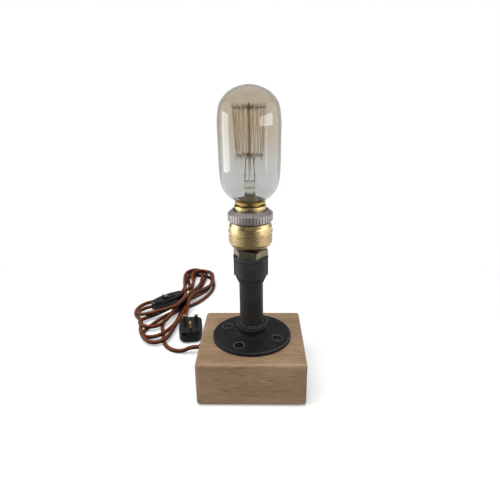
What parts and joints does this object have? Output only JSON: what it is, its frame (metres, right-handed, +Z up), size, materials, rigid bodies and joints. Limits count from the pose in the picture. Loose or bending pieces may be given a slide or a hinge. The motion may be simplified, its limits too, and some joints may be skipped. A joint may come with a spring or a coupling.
{
  "type": "pipe table lamp",
  "caption": "Table lamp with a square oak block, iron floor flange, short pipe and coupling, brass bayonet lampholder, tubular filament lamp, and a braided lead with rocker switch and plug.",
  "frame": {"origin": "centre of the felt's underside, on the lamp's own vertical axis, on the table's surface", "axes": "+Z up along the pipe, +Y towards the lamp's back, +X to the right seen from the front; the lead leaves the left (-X) face near the back"},
  "size_m": [0.1996, 0.3001, 0.2624],
  "materials": {
    "oak": "light oak, satin oiled, straight grain",
    "felt": "dark felt",
    "bush_rubber": "blue-black rubber",
    "clamp_plastic": "black moulded plastic",
    "black_screws": "blackened steel",
    "cast_fittings": "malleable iron, dark waxed",
    "pipe_steel": "dark steel pipe, clear waxed",
    "nickel": "dull nickel plate",
    "holder_brass": "satin brass, slightly aged",
    "holder_insert": "unglazed cream ceramic",
    "spring_steel": "bright spring wire",
    "ring_metal": "grey pewter finish, coarse knurl",
    "amber_glass": "amber tinted clear glass",
    "cap_brass": "bright brass",
    "cap_glass": "black glass-like ceramic",
    "solder": "dull solder",
    "stem_glass": "clear glass, amber through the envelope",
    "lamp_wire": "thin support wire",
    "filament_wire": "unlit filament wire, tan",
    "braid": "rust-brown braided cotton",
    "black_gloss": "black gloss moulding",
    "pin_brass": "bright brass blades",
    "fuse_body": "ceramic cartridge"
  },
  "bodies": {
    "lamp": {"wood_block": "oak", "felt_pad": "felt", "cable_bush": "bush_rubber", "cord_clamp": "clamp_plastic", "clamp_screw": "black_screws", "floor_flange": "cast_fittings", "flange_screws": "black_screws", "pipe": "pipe_steel", "coupling": "cast_fittings", "hex_bush": "nickel", "nipple": "nickel", "nipple_nut": "nickel", "holder_cup": "holder_brass", "holder_collar": "holder_brass", "holder_barrel": "holder_brass", "holder_insulator": "holder_insert", "terminal_screws": "holder_brass", "inner_lead": "braid", "cord_tube": "braid", "cord_hank": "braid", "plug_lead": "braid", "switch_base": "black_gloss", "switch_cover": "black_gloss", "rocker_pin": "nickel", "switch_screws": "black_screws", "plug_cover": "black_gloss", "plug_nose": "black_gloss", "plug_base": "black_gloss", "line_pin": "pin_brass", "neutral_pin": "pin_brass", "earth_pin": "pin_brass", "plug_fuse": "fuse_body", "plug_screw": "nickel"},
    "rocker": {"switch_rocker": "black_gloss"},
    "ring": {"shade_ring": "ring_metal"},
    "plungers": {"contact_plungers": "holder_brass", "plunger_springs": "spring_steel"},
    "bulb": {"bulb_glass": "amber_glass", "bulb_cap": "cap_brass", "cap_pins": "cap_brass", "cap_insulator": "cap_glass", "cap_contacts": "solder", "bulb_stem": "stem_glass", "stem_leads": "lamp_wire", "filament_supports": "lamp_wire", "filament": "filament_wire"}
  },
  "joints": [
    {"name": "switch_rock", "type": "hinge", "parent": "lamp", "child": "rocker", "pos_m": [-0.1104, 0.1474, 0.0089], "axis": [-0.7071, 0.7071, 0], "range_deg": [-18, 0]},
    {"name": "shade_ring_turn", "type": "hinge", "parent": "lamp", "child": "ring", "pos_m": [0, 0, 0.158], "axis": [0, 0, 1], "range_deg": [0, 360]},
    {"name": "plunger_press", "type": "slide", "parent": "lamp", "child": "plungers", "axis": [0, 0, 1], "range_m": [-0.0012, 0], "stiffness_N_per_m": 1500, "springref_m": 0.005, "deforming": ["plunger_springs"]},
    {"name": "bulb_turn", "type": "hinge", "parent": "plungers", "child": "bulb", "pos_m": [0, 0, 0.158], "axis": [0, 0, 1], "range_deg": [0, 15]}
  ]
}
